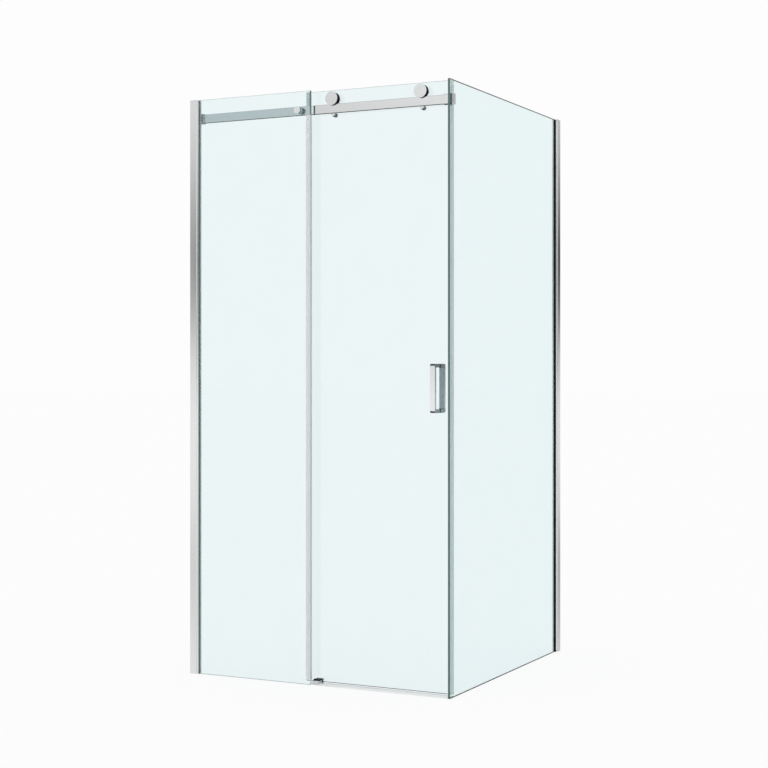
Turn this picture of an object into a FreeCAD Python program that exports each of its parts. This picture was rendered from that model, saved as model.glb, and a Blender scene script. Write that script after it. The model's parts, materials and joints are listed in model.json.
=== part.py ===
import FreeCAD, Part
import math
import os

# Corner shower enclosure. The front has a fixed glass panel and a glass door that hangs on
# two grooved rollers and rolls along a flat rail. A glass return panel closes the right side.
# Wall profiles hold the two fixed panels against two walls that meet behind the enclosure.
# While it is modelled, X runs along the front from the left wall, Y runs from the fixed
# panel's outer face to the back wall, and Z runs up from the shower tray. Lengths are in mm.

Vector = FreeCAD.Vector

# Overall sizes, over the wall profiles
overall_width = 1000.0
overall_depth = 1000.0
overall_height = 2000.0

# Glass
glass_thickness = 8.0
glass_edge_cut = 0.8
fixed_panel_width = 461.0
door_overlap = 32.0
door_floor_gap = 7.0
door_side_gap = 8.0
glass_hole_radius = 6.0
roller_hole_radius = 10.0

# Wall channel and the adjusting profile that slides in it
channel_width = 28.0
channel_depth = 27.0
channel_wall = 2.0
channel_corner_radius = 1.2
profile_fit = 0.3
insert_wall = 1.8
insert_start = 8.0
insert_web = 11.0
insert_end = 32.0
insert_lip_share = 0.34
glass_start = 14.0
wall_hole_radius = 2.75
wall_hole_end_inset = 100.0
wall_hole_inner_share = 1 / 3

# Glazing gaskets, one on each side of the glass
gasket_foot_length = 7.0
gasket_bead_length = 2.2
gasket_bead_thickness = 4.6
gasket_fit = 0.1

# Plastic cap on each wall profile
cap_height = 3.0
cap_plug_depth = 8.0
cap_plug_length = 4.5
cap_glass_fit = 0.4

# Rail
rail_drop = 78.5
rail_height = 30.0
rail_thickness = 10.0
rail_setback = 9.0
rail_edge_cut = 0.8
rail_fit = 0.2

# Sockets that hold the rail's ends
socket_height = 34.0
socket_thickness = 18.0
socket_corner_cut = 1.5
wall_socket_length = 41.0
wall_socket_floor = 12.0
wall_socket_hole_radius = 2.75
end_block_length = 22.0
end_block_floor = 11.0

# Clamp through the return panel
clamp_cap_width = 18.0
clamp_cap_height = 36.0
clamp_cap_thickness = 5.0
clamp_cap_cut = 2.0
clamp_stud_radius = 4.0
clamp_stud_reach = 20.0
clamp_pad_inset = 1.0

# Horseshoe pads that keep metal off the glass, slid over the studs
pad_thickness = 1.0
pad_fit = 0.3

# Connector between the fixed panel and the rail
connector_inset = 49.5
connector_drop = 62.0
connector_cap_radius = 12.5
connector_cap_thickness = 4.0
connector_stud_radius = 4.0
connector_thread_depth = 7.0
connector_spacer_radius = 8.0
connector_pad_half = 8.0
stud_fit = 0.1

# Rollers
roller_left_inset = 106.5
roller_right_inset = 95.5
tread_radius = 18.2
tread_clearance = 0.3
flange_radius = 22.0
flange_thickness = 2.7
groove_clearance = 0.3
wheel_gap = 0.3
wheel_bore_fit = 0.1
roller_cap_radius = 23.0
roller_cap_front = 1.2
roller_cap_gap = 0.5
roller_hub_radius = 7.0
roller_stud_radius = 4.0
roller_spacer_radius = 9.0
roller_spacer_thickness = 2.0
roller_pad_half = 8.0
roller_nut_radius = 15.0
roller_nut_thickness = 8.0
thread_end_share = 0.8

# Anti-lift lugs under the rail
lug_radius = 8.0
lug_gap = 1.0
lug_setback = 5.0
lug_stud_drop = 4.0
lug_stud_radius = 3.0
lug_pad_half_width = 7.0
lug_pad_half_height = 4.5
lug_nut_radius = 8.0
lug_nut_thickness = 6.0

# Handles
handle_inset = 44.0
handle_centre_height = 1000.0
handle_length = 160.0
handle_width = 18.0
handle_reach = 38.0
handle_grip_thickness = 10.0
handle_leg_thickness = 12.0
handle_outer_radius = 8.0
handle_inner_radius = 3.0
handle_stud_radius = 3.0
handle_stud_share = 0.45

# Strip on the fixed panel's free edge
strip_wall = 1.2
strip_leg = 15.5
strip_bottom = 17.0
strip_top_drop = 81.0
strip_fit = 0.1
strip_fin_reach = 11.0

# Strip on the door's leading edge, whose fin meets the fixed panel's fin
fin_gap = 0.5
fin_lap = 5.0
door_fin_top_drop = 95.0
door_strip_leg = 14.0

# Strip on the door's closing edge
closing_leg = 6.0
closing_nose_radius = 5.3
closing_nose_wall = 1.1
closing_gap = 0.3

# Guide on the tray for the door's lower edge
guide_left_gap = 1.5
guide_length = 24.0
guide_front = 4.0
guide_rear = 4.0
guide_height = 17.0
guide_floor = 4.0
guide_toe_height = 6.0
guide_shoulder = 14.0
guide_corner_cut = 1.5
liner_wall = 1.5
liner_clearance = 0.4
guide_hole_radius = 2.25
guide_hole_spacing = 14.0

# Threshold bar on the tray across the doorway
threshold_width = 38.0
threshold_height = 5.0
threshold_nose = 1.2
threshold_slope = 8.0
threshold_groove_width = 9.0
threshold_groove_depth = 0.8
threshold_end_gap = 0.5

overrun = 1.0

# Places worked out from the sizes above
profile_proud = (channel_width - glass_thickness) / 2
return_outer_x = overall_width - profile_proud
return_inner_x = return_outer_x - glass_thickness
back_wall_y = overall_depth - profile_proud
fixed_inner_y = glass_thickness
fixed_edge_x = glass_start + fixed_panel_width
rail_front_y = fixed_inner_y + rail_setback
rail_middle_y = rail_front_y + rail_thickness / 2
rail_back_y = rail_front_y + rail_thickness
rail_bottom_z = overall_height - rail_drop
rail_top_z = rail_bottom_z + rail_height
rail_middle_z = rail_bottom_z + rail_height / 2
wheel_back_y = rail_back_y + groove_clearance + flange_thickness
roller_spacer_back_y = wheel_back_y + wheel_gap + roller_spacer_thickness
door_front_y = roller_spacer_back_y + pad_thickness
door_back_y = door_front_y + glass_thickness
door_left_x = fixed_edge_x - door_overlap
door_right_x = return_inner_x - door_side_gap
roller_xs = {"left": door_left_x + roller_left_inset, "right": door_right_x - roller_right_inset}
roller_z = rail_top_z + tread_radius + tread_clearance
profile_top_z = overall_height - cap_height
connector_x = fixed_edge_x - connector_inset
connector_z = overall_height - connector_drop


def outline(points, place):
    """Close a wire through points (a, b) or (a, b, corner radius), set in space by place."""
    corners = []
    for index, point in enumerate(points):
        here = Vector(point[0], point[1], 0)
        radius = point[2] if len(point) > 2 else 0
        if not radius:
            corners.append([here])
            continue
        last = points[index - 1]
        following = points[(index + 1) % len(points)]
        back = (Vector(last[0], last[1], 0) - here).normalize()
        ahead = (Vector(following[0], following[1], 0) - here).normalize()
        half = back.getAngle(ahead) / 2
        reach = radius / math.tan(half)
        bisector = (back + ahead).normalize()
        middle = here + bisector * (radius / math.sin(half) - radius)
        corners.append([here + back * reach, middle, here + ahead * reach])
    edges = []
    for index, corner in enumerate(corners):
        spots = [place(spot.x, spot.y) for spot in corner]
        if len(spots) > 1:
            edges.append(Part.Arc(spots[0], spots[1], spots[2]).toShape())
        start = corners[(index + 1) % len(corners)][0]
        edges.append(Part.makeLine(spots[-1], place(start.x, start.y)))
    return Part.Wire(edges)


def prism(points, place, direction):
    """Extrude an outline along direction."""
    return Part.Face(outline(points, place)).extrude(direction)


def upright(points, low, high):
    """Extrude an outline of X and Y points from height low to height high."""
    return prism(points, lambda x, y: Vector(x, y, low), Vector(0, 0, high - low))


def along_x(points, left, right):
    """Extrude an outline of Y and Z points from left to right."""
    return prism(points, lambda y, z: Vector(left, y, z), Vector(right - left, 0, 0))


def along_y(points, front, back):
    """Extrude an outline of X and Z points from front to back."""
    return prism(points, lambda x, z: Vector(x, front, z), Vector(0, back - front, 0))


def rectangle(a, b):
    """Corner points of a rectangle from the ranges a and b."""
    return [(a[0], b[0]), (a[1], b[0]), (a[1], b[1]), (a[0], b[1])]


def cut_rectangle(a, b, cut):
    """Corner points of a rectangle from the ranges a and b whose corners are cut off."""
    return [(a[0] + cut, b[0]), (a[1] - cut, b[0]), (a[1], b[0] + cut), (a[1], b[1] - cut),
            (a[1] - cut, b[1]), (a[0] + cut, b[1]), (a[0], b[1] - cut), (a[0], b[0] + cut)]


def around(middle, half):
    """Range of half to either side of middle."""
    return (middle - half, middle + half)


def rod(start, direction, radius, length):
    return Part.makeCylinder(radius, length, start, direction)


def turned(profile, base, axis):
    """Turn a profile of (distance along the axis, radius) points about a level axis."""
    def place(along, radius):
        return base + axis * along + Vector(0, 0, radius)
    return Part.Face(outline(profile, place)).revolve(base, axis, 360)


def pad(face_point, direction, half_width, half_height, stud_radius):
    """Horseshoe pad on a glass face, open at the bottom, with its slot over a stud."""
    slot = stud_radius + pad_fit
    points = [(-half_width, -half_height), (-slot, -half_height), (-slot, slot), (slot, slot),
              (slot, -half_height), (half_width, -half_height), (half_width, half_height),
              (-half_width, half_height)]
    across = direction.cross(up)

    def place(side, height):
        return face_point + across * side + up * height
    return prism(points, place, direction * pad_thickness)


def hexagon(a, b, radius):
    """Corner points of a hexagon about the point (a, b)."""
    turns = [math.radians(angle) for angle in range(0, 360, 60)]
    return [(a + radius * math.cos(turn), b + radius * math.sin(turn)) for turn in turns]


forward = Vector(0, -1, 0)
inward = Vector(0, 1, 0)
leftward = Vector(-1, 0, 0)
rightward = Vector(1, 0, 0)
up = Vector(0, 0, 1)
shift = Vector(-overall_width / 2, profile_proud - overall_depth / 2, 0)
all_nodes = {}


def keep(name, *solids):
    """Move solids to the model's origin and keep them as one named sub-part."""
    shape = solids[0] if len(solids) == 1 else Part.makeCompound(list(solids))
    moved = shape.copy()
    moved.translate(shift)
    all_nodes[name] = moved


# Wall profiles. out is the distance from the wall, across is the distance from the middle of
# the glass towards the inside of the shower.
def left_place(out, across):
    return Vector(out, glass_thickness / 2 + across, 0)


def right_place(out, across):
    return Vector(return_outer_x - glass_thickness / 2 - across, back_wall_y - out, 0)


def channel_points():
    half = channel_width / 2
    inside = half - channel_wall
    return [(0, -half), (channel_depth, -half, channel_corner_radius), (channel_depth, -inside),
            (channel_wall, -inside), (channel_wall, inside), (channel_depth, inside),
            (channel_depth, half, channel_corner_radius), (0, half)]


insert_half = channel_width / 2 - channel_wall - profile_fit
insert_inside = insert_half - insert_wall
lip_inside = insert_half - insert_half * insert_lip_share


def insert_points():
    web_back = insert_web + insert_wall
    lip_back = insert_end - insert_wall
    start = [(insert_start, insert_half), (insert_start, insert_inside), (insert_web, insert_inside),
             (insert_web, -insert_inside), (insert_start, -insert_inside), (insert_start, -insert_half)]
    lower = [(insert_end, -insert_half, channel_corner_radius), (insert_end, -lip_inside),
             (lip_back, -lip_inside), (lip_back, -insert_inside), (web_back, -insert_inside)]
    upper = [(web_back, insert_inside), (lip_back, insert_inside), (lip_back, lip_inside),
             (insert_end, lip_inside), (insert_end, insert_half, channel_corner_radius)]
    return start + lower + upper


def gasket_points(side):
    glass_face = glass_thickness / 2 + gasket_fit
    lip_back = insert_end - insert_wall - gasket_fit
    foot_start = lip_back - gasket_foot_length
    lip_face = insert_end + gasket_fit
    bead_end = lip_face + gasket_bead_length
    bead_top = glass_face + gasket_bead_thickness
    foot_top = insert_inside - gasket_fit
    neck = lip_inside - gasket_fit
    bead_radius = gasket_bead_length / 2
    spots = [(foot_start, glass_face), (bead_end, glass_face), (bead_end, bead_top, bead_radius),
             (lip_face, bead_top), (lip_face, neck), (lip_back, neck), (lip_back, foot_top),
             (foot_start + gasket_bead_length, foot_top)]
    return [(spot[0], side * spot[1]) + spot[2:] for spot in spots]


def cap_shape(place):
    """Plastic cap over the channel, with a slit for the glass and a plug between the webs."""
    half = channel_width / 2
    slit = glass_thickness / 2 + cap_glass_fit
    slit_start = glass_start - cap_glass_fit
    points = [(0, -half), (channel_depth, -half), (channel_depth, -insert_half),
              (insert_end, -insert_half), (insert_end, -slit), (slit_start, -slit),
              (slit_start, slit), (insert_end, slit), (insert_end, insert_half),
              (channel_depth, insert_half), (channel_depth, half), (0, half)]
    lid = prism(points, lambda out, across: place(out, across) + up * profile_top_z, up * cap_height)
    plug_start = channel_wall + profile_fit
    plug = rectangle((plug_start, plug_start + cap_plug_length), (-insert_inside, insert_inside))
    plug_z = profile_top_z - cap_plug_depth
    stem = prism(plug, lambda out, across: place(out, across) + up * plug_z, up * cap_plug_depth)
    return lid.fuse(stem).removeSplitter()


def make_wall_profile(side, place):
    origin = place(0, 0)
    out = place(1, 0) - origin
    upward = up * profile_top_z
    channel = prism(channel_points(), place, upward)
    insert = prism(insert_points(), place, upward)
    wall_holes = []
    outer_spacing = overall_height - wall_hole_end_inset * 2
    for spacing in (outer_spacing, outer_spacing * wall_hole_inner_share):
        for sign in (-1, 1):
            level = overall_height / 2 + sign * spacing / 2
            wall_holes.append(rod(origin - out * overrun + up * level, out, wall_hole_radius,
                                  channel_wall + overrun * 2))
    keep("wall_channel_" + side, channel.cut(Part.makeCompound(wall_holes)))
    keep("adjusting_profile_" + side, insert)
    keep("glazing_gaskets_" + side, *[prism(gasket_points(sign), place, upward) for sign in (-1, 1)])
    keep("profile_cap_" + side, cap_shape(place))


# Glass panels
def make_glass():
    holes = {"fixed": [], "return": [], "door": []}
    start = Vector(connector_x, -overrun, connector_z)
    holes["fixed"].append(rod(start, inward, glass_hole_radius, glass_thickness + overrun * 2))
    start = Vector(return_inner_x - overrun, rail_middle_y, rail_middle_z)
    holes["return"].append(rod(start, rightward, glass_hole_radius, glass_thickness + overrun * 2))
    spots = [(x, roller_z, roller_hole_radius) for x in roller_xs.values()]
    spots += [(x, lug_stud_z(), glass_hole_radius) for x in roller_xs.values()]
    spots += [(handle_x(), z, glass_hole_radius) for z in handle_stud_heights()]
    for x, z, radius in spots:
        start = Vector(x, door_front_y - overrun, z)
        holes["door"].append(rod(start, inward, radius, glass_thickness + overrun * 2))
    fixed = cut_rectangle((glass_start, fixed_edge_x), (0, fixed_inner_y), glass_edge_cut)
    side = cut_rectangle((return_inner_x, return_outer_x), (0, back_wall_y - glass_start), glass_edge_cut)
    door = cut_rectangle((door_left_x, door_right_x), (door_front_y, door_back_y), glass_edge_cut)
    fixed = upright(fixed, 0, overall_height)
    side = upright(side, 0, overall_height)
    door = upright(door, door_floor_gap, overall_height)
    keep("fixed_glass", fixed.cut(Part.makeCompound(holes["fixed"])))
    keep("return_glass", side.cut(Part.makeCompound(holes["return"])))
    keep("door_glass", door.cut(Part.makeCompound(holes["door"])))


# Rail and what holds it
def socket_outline(middle_y):
    depth = around(middle_y, socket_thickness / 2)
    return cut_rectangle(depth, around(rail_middle_z, socket_height / 2), socket_corner_cut)


rail_left_x = wall_socket_floor + rail_fit
collar_left_x = insert_end + gasket_fit + gasket_bead_length + rail_fit
channel_side_y = (glass_thickness + channel_width) / 2 + rail_fit
end_block_right_x = return_inner_x - pad_thickness
end_block_left_x = end_block_right_x - end_block_length
rail_right_x = end_block_right_x - end_block_floor - rail_fit


def pocket(left, right):
    depth = around(rail_middle_y, rail_thickness / 2 + rail_fit)
    height = around(rail_middle_z, rail_height / 2 + rail_fit)
    return along_x(rectangle(depth, height), left, right)


def beside_channel():
    """Space that the wall profile takes in front of the rail's end and its wall socket."""
    depth = (rail_middle_y - socket_thickness, channel_side_y)
    return along_x(rectangle(depth, around(rail_middle_z, socket_height)), -overrun, collar_left_x)


def make_rail():
    bar = cut_rectangle((rail_front_y, rail_back_y), (rail_bottom_z, rail_top_z), rail_edge_cut)
    bar = along_x(bar, rail_left_x, rail_right_x).cut(beside_channel())
    thread_start = Vector(connector_x, rail_front_y, connector_z)
    thread_radius = connector_stud_radius + stud_fit
    keep("rail", bar.cut(rod(thread_start, inward, thread_radius, connector_thread_depth)))

    socket = along_x(socket_outline(rail_middle_y), 0, wall_socket_length).cut(beside_channel())
    socket = socket.cut(pocket(wall_socket_floor, wall_socket_length))
    wall_hole_start = Vector(0, rail_middle_y, rail_middle_z)
    wall_hole = rod(wall_hole_start, rightward, wall_socket_hole_radius, wall_socket_floor)
    keep("rail_wall_socket", socket.cut(wall_hole))

    block = along_x(socket_outline(rail_middle_y), end_block_left_x, end_block_right_x)
    block = block.cut(pocket(end_block_left_x, end_block_right_x - end_block_floor))
    stud_hole_start = Vector(end_block_right_x, rail_middle_y, rail_middle_z)
    stud_hole = rod(stud_hole_start, leftward, clamp_stud_radius + stud_fit, end_block_floor)
    keep("rail_end_block", block.cut(stud_hole))


def make_return_clamp():
    """Plate outside the return panel whose stud screws into the rail's end block."""
    outer_face = return_outer_x + pad_thickness
    half_width = clamp_cap_width / 2
    half_height = clamp_cap_height / 2
    plate_points = cut_rectangle(around(rail_middle_y, half_width), around(rail_middle_z, half_height),
                                 clamp_cap_cut)
    plate = along_x(plate_points, outer_face, outer_face + clamp_cap_thickness)
    stud_start = Vector(outer_face, rail_middle_y, rail_middle_z)
    stud = rod(stud_start, leftward, clamp_stud_radius, clamp_stud_reach)
    keep("return_clamp_cap", plate.fuse(stud).removeSplitter())
    inner = Vector(return_inner_x, rail_middle_y, rail_middle_z)
    outer = Vector(return_outer_x, rail_middle_y, rail_middle_z)
    half_width -= clamp_pad_inset
    half_height -= clamp_pad_inset
    keep("return_clamp_pads", pad(inner, leftward, half_width, half_height, clamp_stud_radius),
         pad(outer, rightward, half_width, half_height, clamp_stud_radius))


def make_connector():
    """Round cap in front of the fixed panel, bolted through it and a spacer into the rail."""
    outer = Vector(connector_x, 0, connector_z)
    inner = Vector(connector_x, fixed_inner_y, connector_z)
    cap_back = -pad_thickness
    cap_front = cap_back - connector_cap_thickness
    stud_end = rail_front_y + connector_thread_depth - stud_fit
    cap_profile = [(cap_front, 0), (cap_front, connector_cap_radius), (cap_back, connector_cap_radius),
                   (cap_back, connector_stud_radius), (stud_end, connector_stud_radius), (stud_end, 0)]
    keep("connector_cap", turned(cap_profile, outer, inward))
    half = connector_pad_half
    keep("connector_pads", pad(outer, forward, half, half, connector_stud_radius),
         pad(inner, inward, half, half, connector_stud_radius))
    spacer_start = fixed_inner_y + pad_thickness
    spacer_bore = connector_stud_radius + stud_fit
    spacer_profile = [(spacer_start, spacer_bore), (spacer_start, connector_spacer_radius),
                      (rail_front_y, connector_spacer_radius), (rail_front_y, spacer_bore)]
    keep("connector_spacer", turned(spacer_profile, outer, inward))


# Rollers. Distances along a roller's axis are measured from the fixed panel's outer face.
wheel_front_y = rail_front_y - groove_clearance - flange_thickness
hub_end_y = wheel_front_y - wheel_gap
cap_front_y = fixed_inner_y + roller_cap_front
cap_back_y = wheel_front_y - roller_cap_gap
nut_front_y = door_back_y + pad_thickness


def wheel_shape(base):
    """Grooved wheel whose flanges straddle the flat rail, with a plain bore for its stud."""
    groove_front = rail_front_y - groove_clearance
    groove_back = rail_back_y + groove_clearance
    bore = roller_stud_radius + wheel_bore_fit
    profile = [(wheel_front_y, bore), (wheel_front_y, flange_radius), (groove_front, flange_radius),
               (groove_front, tread_radius), (groove_back, tread_radius), (groove_back, flange_radius),
               (wheel_back_y, flange_radius), (wheel_back_y, bore)]
    return turned(profile, base, inward)


def roller_cap_shape(base):
    """Disc in front of the wheel, with a hub and the stud that the wheel turns on."""
    end = nut_front_y + roller_nut_thickness * thread_end_share
    profile = [(cap_front_y, 0), (cap_front_y, roller_cap_radius), (cap_back_y, roller_cap_radius),
               (cap_back_y, roller_hub_radius), (hub_end_y, roller_hub_radius),
               (hub_end_y, roller_stud_radius), (end, roller_stud_radius), (end, 0)]
    return turned(profile, base, inward)


def roller_spacer_shape(base):
    """Ring between the wheel and the pad on the door's outer face."""
    start = roller_spacer_back_y - roller_spacer_thickness
    bore = roller_stud_radius + stud_fit
    profile = [(start, bore), (start, roller_spacer_radius), (roller_spacer_back_y, roller_spacer_radius),
               (roller_spacer_back_y, bore)]
    return turned(profile, base, inward)


def roller_nut_shape(base):
    """Round cap nut on the door's inner face."""
    back = nut_front_y + roller_nut_thickness
    bore_end = nut_front_y + roller_nut_thickness * thread_end_share + stud_fit
    bore = roller_stud_radius + stud_fit
    profile = [(nut_front_y, bore), (nut_front_y, roller_nut_radius), (back, roller_nut_radius),
               (back, 0), (bore_end, 0), (bore_end, bore)]
    return turned(profile, base, inward)


def make_rollers():
    caps = []
    spacers = []
    nuts = []
    pads = []
    for side, x in roller_xs.items():
        base = Vector(x, 0, roller_z)
        keep("roller_wheel_" + side, wheel_shape(base))
        caps.append(roller_cap_shape(base))
        spacers.append(roller_spacer_shape(base))
        nuts.append(roller_nut_shape(base))
        for face_y, direction in ((door_front_y, forward), (door_back_y, inward)):
            face = base + inward * face_y
            pads.append(pad(face, direction, roller_pad_half, roller_pad_half, roller_stud_radius))
    keep("roller_caps", *caps)
    keep("roller_spacers", *spacers)
    keep("roller_nuts", *nuts)
    keep("roller_pads", *pads)


# Anti-lift lugs
def lug_stud_z():
    return rail_bottom_z - lug_gap - lug_stud_drop


def lug_shape(x):
    """Half-round block under the rail, with the stud that goes through the door."""
    top = rail_bottom_z - lug_gap
    back = door_front_y - pad_thickness
    front = rail_front_y + lug_setback
    disc = rod(Vector(x, front, top), inward, lug_radius, back - front)
    reach = lug_radius + overrun
    half = disc.cut(along_y(rectangle(around(x, reach), (top, top + reach)), front, back))
    stud_length = nut_front_y + lug_nut_thickness * thread_end_share - back
    stud = rod(Vector(x, back, lug_stud_z()), inward, lug_stud_radius, stud_length)
    return half.fuse(stud).removeSplitter()


def lug_nut_shape(x):
    """Hexagonal cap nut on the door's inner face."""
    bore_depth = lug_nut_thickness * thread_end_share + stud_fit
    nut = along_y(hexagon(x, lug_stud_z(), lug_nut_radius), nut_front_y, nut_front_y + lug_nut_thickness)
    bore_start = Vector(x, nut_front_y, lug_stud_z())
    return nut.cut(rod(bore_start, inward, lug_stud_radius + stud_fit, bore_depth))


def make_lugs():
    pads = []
    for x in roller_xs.values():
        for face_y, direction in ((door_front_y, forward), (door_back_y, inward)):
            pads.append(pad(Vector(x, face_y, lug_stud_z()), direction, lug_pad_half_width,
                            lug_pad_half_height, lug_stud_radius))
    keep("anti_lift_lugs", *[lug_shape(x) for x in roller_xs.values()])
    keep("anti_lift_nuts", *[lug_nut_shape(x) for x in roller_xs.values()])
    keep("anti_lift_pads", *pads)


# Handles
def handle_x():
    return door_right_x - handle_inset


def handle_stud_heights():
    reach = (handle_length - handle_leg_thickness) / 2
    return [handle_centre_height - reach, handle_centre_height + reach]


def handle_shape(face_y, direction):
    """D-shaped grip that stands out from the door along direction, which is 1 or -1 in Y."""
    root = face_y
    front = root + direction * handle_reach
    inside = front - direction * handle_grip_thickness
    half = handle_length / 2
    gap = half - handle_leg_thickness
    low, high = handle_centre_height - half, handle_centre_height + half
    gap_low, gap_high = handle_centre_height - gap, handle_centre_height + gap
    points = [(root, low), (front, low, handle_outer_radius), (front, high, handle_outer_radius),
              (root, high), (root, gap_high), (inside, gap_high, handle_inner_radius),
              (inside, gap_low, handle_inner_radius), (root, gap_low)]
    sides = around(handle_x(), handle_width / 2)
    body = along_x(points, sides[0], sides[1])
    for level in handle_stud_heights():
        start = Vector(handle_x(), root, level)
        depth = handle_reach * handle_stud_share + stud_fit
        body = body.cut(rod(start, inward * direction, handle_stud_radius + stud_fit, depth))
    return body


def make_handles():
    outer_face = door_front_y - pad_thickness
    inner_face = door_back_y + pad_thickness
    keep("handle_outer", handle_shape(outer_face, -1))
    keep("handle_inner", handle_shape(inner_face, 1))
    reach = handle_reach * handle_stud_share
    studs = []
    pads = []
    for level in handle_stud_heights():
        start = Vector(handle_x(), outer_face - reach, level)
        studs.append(rod(start, inward, handle_stud_radius, inner_face - outer_face + reach * 2))
        for face_y, direction in ((door_front_y, forward), (door_back_y, inward)):
            pads.append(pad(Vector(handle_x(), face_y, level), direction, handle_width / 2,
                            handle_leg_thickness / 2, handle_stud_radius))
    keep("handle_studs", *studs)
    keep("handle_pads", *pads)


# Sealing strips
strip_inner_y = fixed_inner_y + strip_fit + strip_wall
fixed_fin_x = fixed_edge_x - strip_leg
fixed_fin_end_y = strip_inner_y + strip_fin_reach


def make_fixed_strip():
    """U-shaped strip on the fixed panel's free edge, with a fin that points to the door."""
    outer_y = -strip_fit - strip_wall
    right = fixed_edge_x + strip_fit + strip_wall
    corner = strip_wall / 2
    points = [(fixed_fin_x, outer_y), (right, outer_y, corner), (right, strip_inner_y, corner),
              (fixed_fin_x + strip_wall, strip_inner_y), (fixed_fin_x + strip_wall, fixed_fin_end_y),
              (fixed_fin_x, fixed_fin_end_y), (fixed_fin_x, fixed_inner_y + strip_fit),
              (fixed_edge_x + strip_fit, fixed_inner_y + strip_fit),
              (fixed_edge_x + strip_fit, -strip_fit), (fixed_fin_x, -strip_fit)]
    keep("fixed_edge_strip", upright(points, strip_bottom, overall_height - strip_top_drop))


def make_leading_strip():
    """U-shaped strip on the door's leading edge, whose fin laps the fixed panel's fin."""
    left = door_left_x - strip_fit - strip_wall
    front = door_front_y - strip_fit - strip_wall
    back = door_back_y + strip_fit + strip_wall
    fin_right = fixed_fin_x - fin_gap
    fin_left = fin_right - strip_wall
    fin_end = fixed_fin_end_y - fin_lap
    clip_right = door_left_x + door_strip_leg
    points = [(left, front), (fin_left, front), (fin_left, fin_end), (fin_right, fin_end),
              (fin_right, front + strip_wall), (door_left_x - strip_fit, front + strip_wall),
              (door_left_x - strip_fit, back - strip_wall), (clip_right, back - strip_wall),
              (clip_right, back), (left, back)]
    keep("door_leading_strip", upright(points, strip_bottom, overall_height - door_fin_top_drop))


def make_closing_strip():
    """Clip on the door's closing edge with a hollow nose that meets the return panel."""
    edge = door_right_x + strip_fit
    web = edge + strip_wall
    front = door_front_y - strip_fit
    back = door_back_y + strip_fit
    clip_left = door_right_x - closing_leg
    clip = [(clip_left, front - strip_wall), (web, front - strip_wall), (web, back + strip_wall),
            (clip_left, back + strip_wall), (clip_left, back), (edge, back), (edge, front),
            (clip_left, front)]
    top = overall_height
    clip_solid = upright(clip, door_floor_gap, top)
    nose_x = return_inner_x - closing_gap - closing_nose_radius
    base = Vector(nose_x, (door_front_y + door_back_y) / 2, door_floor_gap)
    height = top - door_floor_gap
    nose = rod(base, up, closing_nose_radius, height)
    behind = Part.makeBox(closing_nose_radius * 2, closing_nose_radius * 2, height,
                          Vector(web - closing_nose_radius * 2, base.y - closing_nose_radius, base.z))
    hollow = rod(base - up * overrun, up, closing_nose_radius - closing_nose_wall, height + overrun * 2)
    outside = behind.cut(clip_solid)
    keep("door_closing_strip", clip_solid.fuse(nose.cut(outside)).cut(hollow).removeSplitter())


# Guide and threshold on the tray
guide_left_x = fixed_edge_x + strip_fit + strip_wall + guide_left_gap
guide_right_x = guide_left_x + guide_length
slot_front_y = door_front_y - liner_clearance - liner_wall
slot_back_y = door_back_y + liner_clearance + liner_wall


def make_guide():
    rear = slot_back_y + guide_rear
    cut = guide_corner_cut
    points = [(guide_front, 0), (guide_front, guide_toe_height),
              (guide_front + guide_shoulder, guide_height), (slot_front_y, guide_height),
              (slot_front_y, guide_floor), (slot_back_y, guide_floor), (slot_back_y, guide_height),
              (rear - cut, guide_height), (rear, guide_height - cut), (rear, 0)]
    block = along_x(points, guide_left_x, guide_right_x)
    slot_middle = (slot_front_y + slot_back_y) / 2
    for sign in (-1, 1):
        x = (guide_left_x + guide_right_x + sign * guide_hole_spacing) / 2
        block = block.cut(rod(Vector(x, slot_middle, 0), up, guide_hole_radius, guide_floor))
    keep("bottom_guide", block)
    heights = (guide_floor, guide_height)
    front = rectangle((slot_front_y, slot_front_y + liner_wall), heights)
    back = rectangle((slot_back_y - liner_wall, slot_back_y), heights)
    keep("guide_liners", *[along_x(points, guide_left_x, guide_right_x) for points in (front, back)])


def make_threshold():
    """Low bar with sloped edges and two grooves underneath for its adhesive strips."""
    width = threshold_width
    top = threshold_height
    groove_gap = (width - threshold_groove_width * 2) / 3
    points = [(0, 0), (0, threshold_nose), (threshold_slope, top, threshold_height),
              (width - threshold_slope, top, threshold_height), (width, threshold_nose), (width, 0)]
    start = width - groove_gap
    for number in range(2):
        end = start - threshold_groove_width
        points += [(start, 0), (start, threshold_groove_depth), (end, threshold_groove_depth), (end, 0)]
        start = end - groove_gap
    left = guide_right_x + threshold_end_gap
    keep("threshold_bar", along_x(points, left, return_inner_x - threshold_end_gap))


make_wall_profile("left", left_place)
make_wall_profile("right", right_place)
make_glass()
make_rail()
make_return_clamp()
make_connector()
make_rollers()
make_lugs()
make_handles()
make_fixed_strip()
make_leading_strip()
make_closing_strip()
make_guide()
make_threshold()

os.makedirs("parts", exist_ok=True)
for node_name, node_shape in all_nodes.items():
    node_shape.exportStep("parts/" + node_name + ".step")
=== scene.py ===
import json
import math
import bmesh
import bpy
from mathutils import Matrix, Vector


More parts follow.
